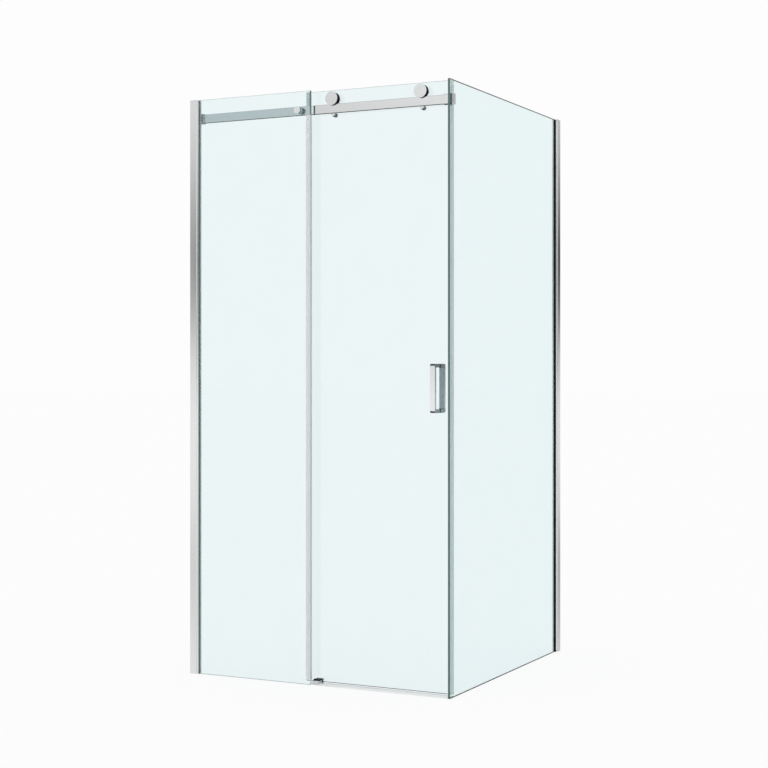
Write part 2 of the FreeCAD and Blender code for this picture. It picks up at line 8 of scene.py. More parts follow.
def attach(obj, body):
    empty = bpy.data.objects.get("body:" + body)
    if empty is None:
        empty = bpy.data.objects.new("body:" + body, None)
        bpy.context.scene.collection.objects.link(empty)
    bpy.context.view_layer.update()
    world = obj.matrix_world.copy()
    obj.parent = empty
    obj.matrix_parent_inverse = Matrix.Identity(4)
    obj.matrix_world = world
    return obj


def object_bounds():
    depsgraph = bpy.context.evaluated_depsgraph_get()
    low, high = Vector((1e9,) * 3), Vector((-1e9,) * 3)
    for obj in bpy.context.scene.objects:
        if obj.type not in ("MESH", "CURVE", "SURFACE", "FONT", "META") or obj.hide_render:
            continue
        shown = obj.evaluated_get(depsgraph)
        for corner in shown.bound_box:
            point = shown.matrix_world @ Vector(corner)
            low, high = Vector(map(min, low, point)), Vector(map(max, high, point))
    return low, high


# Corner shower enclosure. The shapes come from the model that is loaded. This script gives them
# their materials and softened edges, adds small fasteners and sleeves, and sets the camera and the
# light.
# Lengths are in metres, unless a comment says that they are in millimetres.
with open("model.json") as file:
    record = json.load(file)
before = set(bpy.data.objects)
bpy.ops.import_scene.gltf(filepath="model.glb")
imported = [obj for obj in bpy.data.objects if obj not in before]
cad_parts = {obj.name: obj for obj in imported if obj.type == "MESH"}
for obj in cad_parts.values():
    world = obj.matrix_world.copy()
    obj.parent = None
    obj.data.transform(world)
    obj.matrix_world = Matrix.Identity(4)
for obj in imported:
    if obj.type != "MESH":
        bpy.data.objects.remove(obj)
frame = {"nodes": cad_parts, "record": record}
cad_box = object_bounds()

scene = bpy.context.scene
MILLIMETRE = 0.001
ENCLOSURE = "enclosure"
DOOR = "door"

# Camera, fitted to the glass edges of the photograph, which is PHOTO_SIDE pixels square
PHOTO_SIDE = 768.0
FOCAL_PIXELS = 1595.67
HORIZON_PIXEL = 367.71
CAMERA_PLACE = (2.6015, -5.1800, 1.0672)
CAMERA_YAW = 0.4644
CAMERA_REACH = (0.05, 300.0)
SENSOR_WIDTH = 36.0

# Light levels
BACKGROUND_LEVEL = 0.983
AMBIENT_LEVEL = 0.72
LAMP_LEVEL = 0.85
LAMP_SPREAD_DEGREES = 60
LAMP_TILT_DEGREES = (24, 10, 0)

# Floor
FLOOR_COLOUR = (0.97, 0.97, 0.97)
FLOOR_HALF = 60.0
FLOOR_DROP = 0.0002
FLOOR_GLOW_SHARE = 0.9

# Level that metal mirrors, by elevation in degrees
MIRRORED_LEVELS = [(-90, 0.25), (-45, 0.35), (-24, 0.75), (-16, 0.95), (-10.2, 0.93), (-8.5, 0.79),
                   (-6.7, 0.72), (-4.9, 0.92), (-3.1, 1.0), (-1.3, 1.0), (0.5, 0.84), (2.2, 0.47),
                   (4, 0.27), (5.8, 0.53), (7.6, 0.75), (9.3, 0.86), (14, 1.0), (22, 1.0), (40, 0.5),
                   (90, 0.25)]
# Share of it that is mirrored, by the direction's part along X
SIDEWAYS_SHARES = [(-1.0, 0.5), (-0.7, 0.75), (-0.56, 0.82), (-0.495, 0.82), (-0.48, 0.9), (-0.44, 0.95),
                   (-0.415, 1.0), (0.0, 1.0), (0.6, 0.9), (1.0, 0.6)]
# Towards the back the bands are deeper: the level's power and share, and how far by the part along Y
BACKWARD_POWER = 1.9
BACKWARD_SHARE = 0.805
BACKWARD_MASK = [(-1.0, 0.0), (0.0, 0.0), (0.3, 1.0), (1.0, 1.0)]
# Depths above which a ray has been mirrored, and has passed glass on its way in and out again
MIRRORED_DEPTH = 0.5
RETURNED_DEPTH = 2.5


class Box:
    """Extent of a node of the model at rest."""

    def __init__(self, name):
        places = [vertex.co for vertex in frame["nodes"][name].data.vertices]
        self.low = Vector([min(place[axis] for place in places) for axis in range(3)])
        self.high = Vector([max(place[axis] for place in places) for axis in range(3)])
        self.middle = (self.low + self.high) / 2


# Node helpers
# A painted edge goes from one tone to the other over this distance on either side
EDGE_BLUR = 0.0001
# Noise between these values is spread over the whole range asked for
NOISE_RANGE = (0.3, 0.7)
NOISE_DETAIL = 3.0
# Parts of a normal along an axis between which a mask of the faces on that side goes from 0 to 1
FACING = (0.6, 0.9)
UNDER_FACING = (-0.15, -0.45)
TOP_FACING = (0.1, 0.35)
RIM_FACING = (0.8, 0.5)
EDGE_FACING = (0.95, 0.85)
LEFT_EDGE_FACING = (-0.8, -0.95)


class Nodes:
    """A node tree, with short ways to add, link and combine nodes."""

    def __init__(self, tree):
        self.tree = tree

    def add(self, kind, **settings):
        node = self.tree.nodes.new(kind)
        for key, value in settings.items():
            setattr(node, key, value)
        return node

    def link(self, source, target):
        self.tree.links.new(source, target)

    def maths(self, operation, first, second=None):
        """Result of an operation on outputs or numbers."""
        node = self.add("ShaderNodeMath", operation=operation)
        for socket, value in zip(node.inputs, (first, second)):
            if isinstance(value, bpy.types.NodeSocket):
                self.link(value, socket)
            elif value is not None:
                socket.default_value = value
        return node.outputs[0]

    def step(self, source, zero, one):
        """Mask that goes from 0 where source is zero to 1 where it is one."""
        node = self.add("ShaderNodeMapRange")
        node.inputs["From Min"].default_value = zero
        node.inputs["From Max"].default_value = one
        self.link(source, node.inputs["Value"])
        return node.outputs["Result"]

    def mix_shaders(self, factor, first, second):
        """Shader that goes from the first to the second as the factor goes from 0 to 1."""
        node = self.add("ShaderNodeMixShader")
        self.link(factor, node.inputs["Fac"])
        self.link(first, node.inputs[1])
        self.link(second, node.inputs[2])
        return node.outputs["Shader"]

    def level_ramp(self, source, stops):
        """Grey that follows stops of (position, level) as the source goes from -1 to 1."""
        ramp = self.add("ShaderNodeValToRGB")
        self.link(self.step(source, -1.0, 1.0), ramp.inputs["Fac"])
        elements = ramp.color_ramp.elements
        while len(elements) > 1:
            elements.remove(elements[-1])
        for number, (position, level) in enumerate(stops):
            position = (position + 1) / 2
            stop = elements[0] if number == 0 else elements.new(position)
            stop.position = position
            stop.color = (level, level, level, 1)
        return ramp.outputs["Color"]


class Shader(Nodes):
    """A new material with its Principled node."""

    def __init__(self, name, **values):
        self.material = bpy.data.materials.new(name)
        self.material.use_nodes = True
        super().__init__(self.material.node_tree)
        self.principled = self.tree.nodes["Principled BSDF"]
        self.output = self.tree.nodes["Material Output"]
        self.coordinates = self.add("ShaderNodeTexCoord")
        names = {"metallic": "Metallic", "ior": "IOR", "transmission": "Transmission Weight",
                 "specular": "Specular IOR Level", "roughness": "Roughness", "alpha": "Alpha"}
        for key, value in values.items():
            self.principled.inputs[names[key]].default_value = value

    def noise(self, size, stretch=(1, 1, 1)):
        """Noise in the object's own space, whose features are about size across."""
        mapping = self.add("ShaderNodeMapping")
        mapping.inputs["Scale"].default_value = stretch
        self.link(self.coordinates.outputs["Object"], mapping.inputs["Vector"])
        node = self.add("ShaderNodeTexNoise")
        node.inputs["Scale"].default_value = 1 / size
        node.inputs["Detail"].default_value = NOISE_DETAIL
        self.link(mapping.outputs["Vector"], node.inputs["Vector"])
        return node.outputs["Fac"]

    def spread(self, source, low, high):
        """Map a noise value to the range low to high."""
        node = self.add("ShaderNodeMapRange")
        node.inputs["From Min"].default_value = NOISE_RANGE[0]
        node.inputs["From Max"].default_value = NOISE_RANGE[1]
        node.inputs["To Min"].default_value = low
        node.inputs["To Max"].default_value = high
        self.link(source, node.inputs["Value"])
        return node.outputs["Result"]

    def blend(self, source, first, second):
        """Base colour between two colours, by a noise value."""
        node = self.add("ShaderNodeMix", data_type="RGBA")
        self.link(self.spread(source, 0.0, 1.0), node.inputs["Factor"])
        node.inputs[6].default_value = (*first, 1)
        node.inputs[7].default_value = (*second, 1)
        self.link(node.outputs[2], self.principled.inputs["Base Color"])

    def rough(self, source, low, high):
        """Roughness between two values, by a noise value."""
        self.link(self.spread(source, low, high), self.principled.inputs["Roughness"])

    def bump(self, source, distance):
        node = self.add("ShaderNodeBump")
        node.inputs["Distance"].default_value = distance
        self.link(source, node.inputs["Height"])
        self.link(node.outputs["Normal"], self.principled.inputs["Normal"])

    def part(self, axis, output):
        """One part, X, Y or Z, of the object's own coordinates or normal."""
        split = self.add("ShaderNodeSeparateXYZ")
        self.link(self.coordinates.outputs[output], split.inputs[0])
        return split.outputs[axis]

    def between(self, axis, low, high):
        """Mask of the surface between two places along an axis."""
        level = self.part(axis, "Object")
        above = self.step(level, low - EDGE_BLUR, low + EDGE_BLUR)
        below = self.step(level, high + EDGE_BLUR, high - EDGE_BLUR)
        return self.maths("MINIMUM", above, below)

    def below(self, height):
        """Mask of the surface below a height."""
        return self.step(self.part("Z", "Object"), height + EDGE_BLUR, height - EDGE_BLUR)

    def mix_colour(self, mask, source, colour):
        """Colour output that goes from source to colour as the mask goes from 0 to 1."""
        node = self.add("ShaderNodeMix", data_type="RGBA")
        self.link(mask, node.inputs["Factor"])
        self.link(source, node.inputs[6])
        node.inputs[7].default_value = (*colour, 1)
        return node.outputs[2]

    def paint_over(self, mask, colour):
        """Cover the base colour with another one where the mask is 1."""
        base = self.principled.inputs["Base Color"]
        self.link(self.mix_colour(mask, base.links[0].from_socket, colour), base)

    def show(self, seen):
        """Make this the shader that the surface shows."""
        self.link(seen, self.output.inputs["Surface"])

    def dull_over(self, mask, colour):
        """Cover the surface with a dull colour where the mask is 1."""
        dull = self.add("ShaderNodeBsdfPrincipled")
        dull.inputs["Base Color"].default_value = (*colour, 1)
        dull.inputs["Roughness"].default_value = 0.6
        dull.inputs["Specular IOR Level"].default_value = 0.0
        self.show(self.mix_shaders(mask, self.principled.outputs["BSDF"], dull.outputs["BSDF"]))

    def let_lamps_through(self, seen, colour):
        """Light from lamps passes the surface straight, tinted by colour."""
        path = self.add("ShaderNodeLightPath")
        clear = self.add("ShaderNodeBsdfTransparent")
        clear.inputs["Color"].default_value = (*colour, 1)
        self.show(self.mix_shaders(path.outputs["Is Shadow Ray"], seen, clear.outputs["BSDF"]))

    def absorb(self, colour, density):
        volume = self.add("ShaderNodeVolumeAbsorption")
        volume.inputs["Color"].default_value = (*colour, 1)
        volume.inputs["Density"].default_value = density
        self.link(volume.outputs["Volume"], self.output.inputs["Volume"])


# Glass
GLASS_TINT = (0.05, 0.58, 0.64)
GLASS_DENSITY = 19.0
GLASS_SHADE = (0.92, 0.96, 0.96)
EDGE_ROUGHNESS = 0.3
EDGE_GREEN = (0.10, 0.17, 0.158)
# Darker green of the painted shade bands at the glass's feet, top and free edges
PAINTED_EDGE_SHADE = (0.03, 0.05, 0.047)
PALE_EDGE = (0.7, 0.76, 0.76)
# Share of the pale left edge that still shows green
PALE_SHARE = 0.12
# Heights of the darker bands at the feet and the top, painted shade for the dark edge line seen through
# the glass
FIXED_FOOT_BAND = 0.0004
DOOR_FOOT_BAND = 0.001
RETURN_FOOT_BAND = 0.0026
RETURN_TOP_BAND = 0.0023
# Darker bands near the free edges, painted shade for the edge seen through the glass, from this far above
# the door's leading strip: their reach in from the edge, and how much of the edge's colour they show
SIDE_BAND_GAP = 0.001
FIXED_SIDE_BAND = 0.0025
FIXED_SIDE_SHARE = 0.8
DOOR_SIDE_BAND = (0.0055, 0.0115)
DOOR_SIDE_SHARE = 0.5


def edge_colour(shader, bands, pale_below):
    """Colour of ground glass: green, pale below a height and darker in the bands, which are painted
    shade.
    """
    ground = shader.add("ShaderNodeVectorMath", operation="SCALE")
    ground.inputs[0].default_value = EDGE_GREEN
    shader.link(shader.spread(shader.noise(size=0.004), 0.85, 1.1), ground.inputs["Scale"])
    colour = ground.outputs["Vector"]
    if pale_below is not None:
        colour = shader.mix_colour(shader.below(pale_below), colour, PALE_EDGE)
    for low, high in bands:
        colour = shader.mix_colour(shader.between("Z", low, high), colour, PAINTED_EDGE_SHADE)
    return colour


def edge_mask(shader, thin_axis, bands, side_band, pale_left):
    """Mask of where ground glass, and the bands of painted shade, show in place of the clear glass."""
    mask = shader.step(shader.maths("ABSOLUTE", shader.part(thin_axis, "Normal")), *EDGE_FACING)
    if pale_left:
        leftward = shader.step(shader.part("X", "Normal"), *LEFT_EDGE_FACING)
        mask = shader.maths("MULTIPLY", mask, shader.spread(leftward, 1.0, PALE_SHARE))
    for low, high in bands:
        mask = shader.maths("MAXIMUM", mask, shader.between("Z", low, high))
    if side_band is not None:
        low, high, share = side_band
        bare_from = Box("door_leading_strip").high.z + SIDE_BAND_GAP
        bare = shader.step(shader.part("Z", "Object"), bare_from - EDGE_BLUR, bare_from + EDGE_BLUR)
        side = shader.maths("MULTIPLY", bare, shader.between("X", low, high))
        mask = shader.maths("MAXIMUM", mask, shader.maths("MULTIPLY", side, share))
    return mask


def clear_glass(name, thin_axis, bands, side_band=None, pale_below=None, pale_left=False):
    """Clear glass whose ground edges show green.

    Bands between pairs of heights are painted darker, and so is a side band of (low X, high X, share)
    above the strips: painted shade for the edge seen through the glass. Edges below the height
    pale_below, or on the left, can be pale.
    """
    shader = Shader(name, transmission=1.0, ior=1.5)
    smudges = shader.noise(size=0.12)
    shader.blend(smudges, (1.0, 1.0, 1.0), (0.985, 0.992, 0.992))
    shader.rough(smudges, 0.0, 0.003)
    shader.absorb(GLASS_TINT, GLASS_DENSITY)
    edge = shader.add("ShaderNodeBsdfPrincipled")
    edge.inputs["Roughness"].default_value = EDGE_ROUGHNESS
    shader.link(edge_colour(shader, bands, pale_below), edge.inputs["Base Color"])
    mask = edge_mask(shader, thin_axis, bands, side_band, pale_left)
    seen = shader.mix_shaders(mask, shader.principled.outputs["BSDF"], edge.outputs["BSDF"])
    shader.let_lamps_through(seen, GLASS_SHADE)
    return shader.material


def fixed_glass():
    panel = Box("fixed_glass")
    return clear_glass("clear_glass_fixed", "Y", [(panel.low.z, panel.low.z + FIXED_FOOT_BAND)],
                       (panel.high.x - FIXED_SIDE_BAND, panel.high.x, FIXED_SIDE_SHARE),
                       pale_below=Box("fixed_edge_strip").low.z)


def door_glass():
    panel = Box("door_glass")
    start, end = DOOR_SIDE_BAND
    return clear_glass("clear_glass_door", "Y", [(panel.low.z, panel.low.z + DOOR_FOOT_BAND)],
                       (panel.low.x + start, panel.low.x + end, DOOR_SIDE_SHARE), pale_left=True)


def return_glass():
    panel = Box("return_glass")
    return clear_glass("clear_glass_return", "X", [(panel.low.z, panel.low.z + RETURN_FOOT_BAND),
                                                   (panel.high.z - RETURN_TOP_BAND, panel.high.z)])


# Plastic and rubber
SEAL_TONES = ((0.93, 0.945, 0.945), (0.97, 0.98, 0.98))
SEAL_ALPHA = 0.5
CLOSING_TONES = ((0.76, 0.785, 0.785), (0.82, 0.84, 0.84))
CLOSING_ALPHA = 0.4
RUBBER_TONES = ((0.006, 0.009, 0.009), (0.014, 0.018, 0.018))
LEFT_GASKET_TONES = ((0.05, 0.056, 0.056), (0.075, 0.082, 0.082))
RIGHT_GASKET_TONES = ((0.006, 0.0065, 0.0065), (0.018, 0.0185, 0.0185))
CLEAR_GASKET = (0.92, 0.95, 0.95)
# The left gaskets are clear from this far in front of the glass to beyond their back, and the right
# ones from beyond their inner side to this far from the glass
LEFT_CLEAR_REACH = 0.0012
RIGHT_CLEAR_REACH = 0.0025
CLEAR_OVERRUN = 0.001
# Height of the guide's dark upper part
GUIDE_DARK_HEIGHT = 0.0045
PALE_NYLON = (0.62, 0.64, 0.64)


def clear_seal(name, tones, alpha):
    """Milky clear plastic between two tones that lets some of what is behind it show."""
    shader = Shader(name, alpha=alpha)
    streaks = shader.noise(size=0.01, stretch=(1, 1, 0.02))
    shader.blend(streaks, *tones)
    shader.rough(streaks, 0.15, 0.3)
    shader.bump(shader.noise(size=0.004, stretch=(1, 1, 0.05)), distance=0.00005)
    return shader.material


def rubber(name, tones, clear_zone=None):
    """Rubber between two tones. In a zone of (axis, low, high) it is the clear kind."""
    shader = Shader(name)
    grain = shader.noise(size=0.002)
    shader.blend(grain, *tones)
    shader.rough(grain, 0.45, 0.65)
    shader.bump(grain, distance=0.00005)
    if clear_zone is not None:
        shader.paint_over(shader.between(*clear_zone), CLEAR_GASKET)
    return shader.material


def left_gasket():
    start = Box("fixed_glass").low.y - LEFT_CLEAR_REACH
    end = Box("glazing_gaskets_left").high.y + CLEAR_OVERRUN
    return rubber("gasket_left", LEFT_GASKET_TONES, ("Y", start, end))


def right_gasket():
    start = Box("glazing_gaskets_right").low.x - CLEAR_OVERRUN
    end = Box("return_glass").low.x - RIGHT_CLEAR_REACH
    return rubber("gasket_right", RIGHT_GASKET_TONES, ("X", start, end))


def clear_pad():
    shader = Shader("clear_pad", transmission=0.7, ior=1.45)
    grain = shader.noise(size=0.003)
    shader.blend(grain, (0.62, 0.66, 0.66), (0.72, 0.76, 0.76))
    shader.rough(grain, 0.3, 0.45)
    shader.let_lamps_through(shader.principled.outputs["BSDF"], (0.8, 0.82, 0.82))
    return shader.material


def grey_plastic():
    shader = Shader("grey_plastic")
    grain = shader.noise(size=0.0015)
    shader.blend(grain, (0.58, 0.60, 0.60), (0.66, 0.68, 0.68))
    shader.rough(grain, 0.4, 0.55)
    shader.bump(grain, distance=0.00004)
    return shader.material


def dark_nylon(name, pale_below=None):
    """Black nylon. Below the height pale_below it can be pale."""
    shader = Shader(name, specular=0.15)
    grain = shader.noise(size=0.002)
    shader.blend(grain, (0.006, 0.0065, 0.007), (0.016, 0.017, 0.018))
    shader.rough(grain, 0.5, 0.65)
    shader.bump(grain, distance=0.00003)
    if pale_below is not None:
        shader.paint_over(shader.below(pale_below), PALE_NYLON)
    return shader.material


def guide_nylon():
    return dark_nylon("guide_nylon", pale_below=Box("bottom_guide").high.z - GUIDE_DARK_HEIGHT)


# Metal
CHROME_TONES = ((0.805, 0.82, 0.825), (0.835, 0.85, 0.855))
# Painted shade: the dull dark underside of the rail and its end block
PAINTED_UNDER_SHADE = (0.035, 0.037, 0.038)
# Tint of the painted dark reflection on the rims of caps and lugs
PAINTED_RIM_SHADE_TINT = (1.0, 1.05, 1.07)
# Painted shade on the handles: sides, sides beside the legs, tops and undersides, and faces towards the
# glass
PAINTED_SIDE_SHADE = (0.46, 0.47, 0.475)
PAINTED_LEG_END_SHADE = (0.26, 0.275, 0.28)
PAINTED_TOP_SHADE = (0.11, 0.115, 0.118)
PAINTED_BACK_SHADE = (0.33, 0.355, 0.36)
# Height of the handle's legs with their rounded inner corners
LEG_HEIGHT = 0.014


def polished_chrome(name, tone=1.0, metallic=1.0):
    """Shader of polished chrome, lighter or darker by tone."""
    shader = Shader(name, metallic=metallic)
    clouds = shader.noise(size=0.03)
    shader.blend(clouds, *[[part * tone for part in colour] for colour in CHROME_TONES])
    shader.rough(clouds, 0.05, 0.09)
    shader.bump(shader.noise(size=0.008), distance=0.00002)
    return shader


def chrome(name, tone=1.0, metallic=1.0):
    return polished_chrome(name, tone, metallic).material


def shaded_chrome(name, dark_end=False):
    """Chrome with a dull dark underside of painted shade, and with a right end like it if dark_end says
    so.
    """
    shader = polished_chrome(name)
    dark = shader.step(shader.part("Z", "Normal"), *UNDER_FACING)
    if dark_end:
        dark = shader.maths("MAXIMUM", dark, shader.step(shader.part("X", "Normal"), *FACING))
    shader.dull_over(dark, PAINTED_UNDER_SHADE)
    return shader.material


def rimmed_chrome(name, rim, tone=1.0):
    """Chrome whose faces that don't look to the front or the back are painted as dark as rim, a painted
    dark reflection.
    """
    shader = polished_chrome(name, tone)
    facing = shader.maths("ABSOLUTE", shader.part("Y", "Normal"))
    shader.paint_over(shader.step(facing, *RIM_FACING), [rim * part for part in PAINTED_RIM_SHADE_TINT])
    return shader.material


def handle_chrome(name, backward):
    """Chrome with painted shade: grey sides, darker beside the legs, and dark tops and undersides.

    The faces towards the glass are painted grey as shade. They look to the back where backward is 1,
    and to the front where it is -1.
    """
    handle = Box("handle_outer")
    shader = polished_chrome(name)
    sideways = shader.step(shader.maths("ABSOLUTE", shader.part("X", "Normal")), *FACING)
    shader.paint_over(sideways, PAINTED_SIDE_SHADE)
    opening = shader.between("Z", handle.low.z + LEG_HEIGHT, handle.high.z - LEG_HEIGHT)
    ends = shader.maths("SUBTRACT", 1.0, opening)
    shader.paint_over(shader.maths("MULTIPLY", sideways, ends), PAINTED_LEG_END_SHADE)
    upward = shader.maths("ABSOLUTE", shader.part("Z", "Normal"))
    shader.paint_over(shader.step(upward, *TOP_FACING), PAINTED_TOP_SHADE)
    facing = shader.maths("MULTIPLY", shader.part("Y", "Normal"), backward)
    shader.paint_over(shader.step(facing, *FACING), PAINTED_BACK_SHADE)
    return shader.material


def polished_aluminium():
    shader = Shader("polished_aluminium", metallic=1.0)
    lines = shader.noise(size=0.0015, stretch=(1, 1, 0.004))
    shader.blend(lines, (0.955, 0.96, 0.965), (0.985, 0.99, 0.99))
    shader.rough(lines, 0.08, 0.14)
    shader.bump(lines, distance=0.00001)
    return shader.material


def satin_aluminium():
    shader = Shader("satin_aluminium", metallic=0.4)
    lines = shader.noise(size=0.0015, stretch=(0.004, 1, 1))
    shader.blend(lines, (0.93, 0.90, 0.90), (0.97, 0.94, 0.94))
    shader.rough(lines, 0.25, 0.35)
    shader.bump(lines, distance=0.00001)
    return shader.material


def turned_steel():
    shader = Shader("turned_steel", metallic=1.0)
    lines = shader.noise(size=0.0008, stretch=(1, 8, 1))
    shader.blend(lines, (0.5, 0.51, 0.52), (0.6, 0.61, 0.62))
    shader.rough(lines, 0.2, 0.32)
    shader.bump(lines, distance=0.00002)
    return shader.material


# Materials by slot, and those of nodes that differ from their slot's
MATERIALS = {"clear_seal": clear_seal("clear_seal", SEAL_TONES, SEAL_ALPHA), "clear_pad": clear_pad(),
             "chrome": chrome("chrome"), "polished_aluminium": polished_aluminium(),
             "satin_aluminium": satin_aluminium(), "grey_plastic": grey_plastic(),
             "nylon": dark_nylon("dark_nylon"), "steel": turned_steel(),
             "black_rubber": rubber("black_rubber", RUBBER_TONES)}
SPECIAL_MATERIALS = {"fixed_glass": fixed_glass(), "door_glass": door_glass(),
                     "return_glass": return_glass(), "glazing_gaskets_left": left_gasket(),
                     "glazing_gaskets_right": right_gasket(), "bottom_guide": guide_nylon(),
                     "door_closing_strip": clear_seal("clear_seal_closing", CLOSING_TONES, CLOSING_ALPHA),
                     # The dull dark undersides of the rail and its end block are painted shade
                     "rail": shaded_chrome("chrome_rail"),
                     "rail_end_block": shaded_chrome("chrome_end_block", dark_end=True),
                     # The wall socket's darker chrome is painted shade
                     "rail_wall_socket": chrome("chrome_painted_shade", tone=0.75),
                     "connector_spacer": chrome("chrome_spacer", tone=0.95, metallic=0.3),
                     # The dark and grey rims of the caps and lugs are a painted dark reflection
                     "connector_cap": rimmed_chrome("chrome_painted_grey_rim", rim=0.2, tone=1.16),
                     "roller_caps": rimmed_chrome("chrome_painted_dark_rim", rim=0.04),
                     "anti_lift_lugs": rimmed_chrome("chrome_lug", rim=0.2),
                     # The handles' grey and dark faces are painted shade
                     "handle_outer": handle_chrome("chrome_outer_handle", backward=1.0),
                     "handle_inner": handle_chrome("chrome_inner_handle", backward=-1.0)}

# Nodes of the model whose sharp edges are softened, with the edge's width in millimetres
SOFT_EDGES = {"rail": 0.5, "rail_wall_socket": 0.6, "rail_end_block": 0.6, "return_clamp_cap": 0.8,
              "connector_cap": 0.7, "connector_spacer": 0.4, "roller_caps": 0.8, "roller_nuts": 1.2,
              "roller_wheel_left": 0.5, "roller_wheel_right": 0.5, "anti_lift_lugs": 0.5,
              "anti_lift_nuts": 0.4, "handle_outer": 0.8, "handle_inner": 0.8, "bottom_guide": 0.5,
              "wall_channel_left": 0.3, "wall_channel_right": 0.3,
              "profile_cap_left": 0.4, "profile_cap_right": 0.4}
WELD_DISTANCE = 0.00001
SHARP_DEGREES = 35
SOFT_SEGMENTS = 3


def soften_edges(node, width):
    weld = node.modifiers.new("weld", "WELD")
    weld.merge_threshold = WELD_DISTANCE
    bevel = node.modifiers.new("bevel", "BEVEL")
    bevel.width = width
    bevel.segments = SOFT_SEGMENTS
    bevel.limit_method = "ANGLE"
    bevel.angle_limit = math.radians(SHARP_DEGREES)
    bevel.harden_normals = True
    bevel.use_clamp_overlap = True


def dress_nodes():
    """Give every node of the model its material, and soften the edges of those that need it."""
    slots = {entry["node"]: entry["material_slot"] for entry in frame["record"]["subparts"]}
    for name, node in frame["nodes"].items():
        node.data.materials.clear()
        if name in SPECIAL_MATERIALS:
            node.data.materials.append(SPECIAL_MATERIALS[name])
        else:
            node.data.materials.append(MATERIALS[slots[name]])
        if name in SOFT_EDGES:
            soften_edges(node, SOFT_EDGES[name] * MILLIMETRE)


# Small fasteners, in millimetres. A domed head has a radius, its rim's height and its full
# height, and a hex socket has a width across its flats and a depth.
HEAD_SIDES = 24
DOME_STEPS = 6
ROLLER_SCREW_HEAD = (8.5, 9.0, 12.0)
ROLLER_SCREW_LIP = (3.6, 12.0)
ROLLER_SCREW_SOCKET = (5.0, 4.0)
LUG_SCREW_HEAD = (6.0, 0.8, 3.4)
PROFILE_SCREW_HEAD = (4.0, 0.5, 1.9)
GRUB_SCREW = [(2.4, 0.0), (2.4, 0.7), (2.1, 0.9)]
GRUB_SOCKET = (2.2, 0.6)

# Places of the fasteners. A screw's head starts a seat's depth below the face it is in.
NUT_SCREW_SEAT = 0.0003
SCREW_SEAT = 0.0002
PROFILE_SCREW_SHARES = (0.1, 0.5, 0.9)
BLOCK_GRUB_INSETS = (0.0045, 0.0125)
SOCKET_GRUB_INSET = 0.0055
HANDLE_GRUB_INSET = 0.0092
BACKWARD = (0, 1, 0)
LEFTWARD = (-1, 0, 0)
DOWNWARD = (0, 0, -1)

# Sleeves round the handle's studs, in millimetres
STUD_RADIUS = 3.0
STUD_SLEEVE_GAP = 0.1
STUD_SLEEVE_RADIUS = 5.8

# Sleeve round the rail's end block, in millimetres
BLOCK_SLEEVE_LENGTH = 4.3
BLOCK_SLEEVE_SETBACK = 0.1
BLOCK_SLEEVE_OUTSET = 0.6
BLOCK_SLEEVE_WALL = 1.2
BLOCK_SLEEVE_CUT = 1.9
BLOCK_SLEEVE_ROUNDING = 0.25
BLOCK_SLEEVE_SEGMENTS = 2


def mesh_from_rings(name, rings, closed):
    """Mesh that joins rings of points, given in millimetres.

    A closed one has its last ring joined to the first. Otherwise each end has a face.
    """
    shape = bmesh.new()
    loops = [[shape.verts.new(point) for point in ring] for ring in rings]
    for lower, higher in zip(loops, loops[1:] + loops[:1] if closed else loops[1:]):
        for number in range(len(lower)):
            following = (number + 1) % len(lower)
            shape.faces.new((lower[number], lower[following], higher[following], higher[number]))
    if not closed:
        shape.faces.new(list(reversed(loops[0])))
        shape.faces.new(loops[-1])
    bmesh.ops.recalc_face_normals(shape, faces=shape.faces[:])
    bmesh.ops.scale(shape, vec=(MILLIMETRE, MILLIMETRE, MILLIMETRE), verts=shape.verts[:])
    mesh = bpy.data.meshes.new(name)
    shape.to_mesh(mesh)
    shape.free()
    return mesh


def hexagon_radius(width, angle):
    """Distance from the middle of a hexagon of this width across flats to its outline."""
    return width / 2 / math.cos(angle % (math.pi / 3) - math.pi / 6)


def dome(radius, rim, height):
    """Profile of a head with an upright rim and a domed top."""
    points = [(radius, 0.0), (radius, rim)]
    for number in range(1, DOME_STEPS):
        angle = math.pi / 2 * number / DOME_STEPS
        points.append((radius * math.cos(angle), rim + (height - rim) * math.sin(angle)))
    return points


def turned_mesh(name, profile, socket=None, closed=False):
    """Profile of (radius, height) points turned about Z, which can have a hex socket (width, depth)."""
    angles = [2 * math.pi * number / HEAD_SIDES for number in range(HEAD_SIDES)]
    levels = [([radius] * HEAD_SIDES, height) for radius, height in profile]
    if socket:
        width, depth = socket
        outline = [hexagon_radius(width, angle) for angle in angles]
        top = profile[-1][1]
        levels += [(outline, top), (outline, top - depth)]
    rings = [[(radius * math.cos(angle), radius * math.sin(angle), height)
              for radius, angle in zip(radii, angles)] for radii, height in levels]
    return mesh_from_rings(name, rings, closed)


def put(name, mesh, slot, body, place=None, axis=None):
    """Show a mesh on a body. One that is made along Z can be put at a place, along an axis."""
    piece = bpy.data.objects.new(name, mesh)
    scene.collection.objects.link(piece)
    if place is not None:
        turn = Vector(axis).to_track_quat("Z", "Y").to_matrix().to_4x4()
        mesh.transform(Matrix.Translation(place) @ turn)
    mesh.materials.append(MATERIALS[slot])
    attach(piece, body)
    return piece


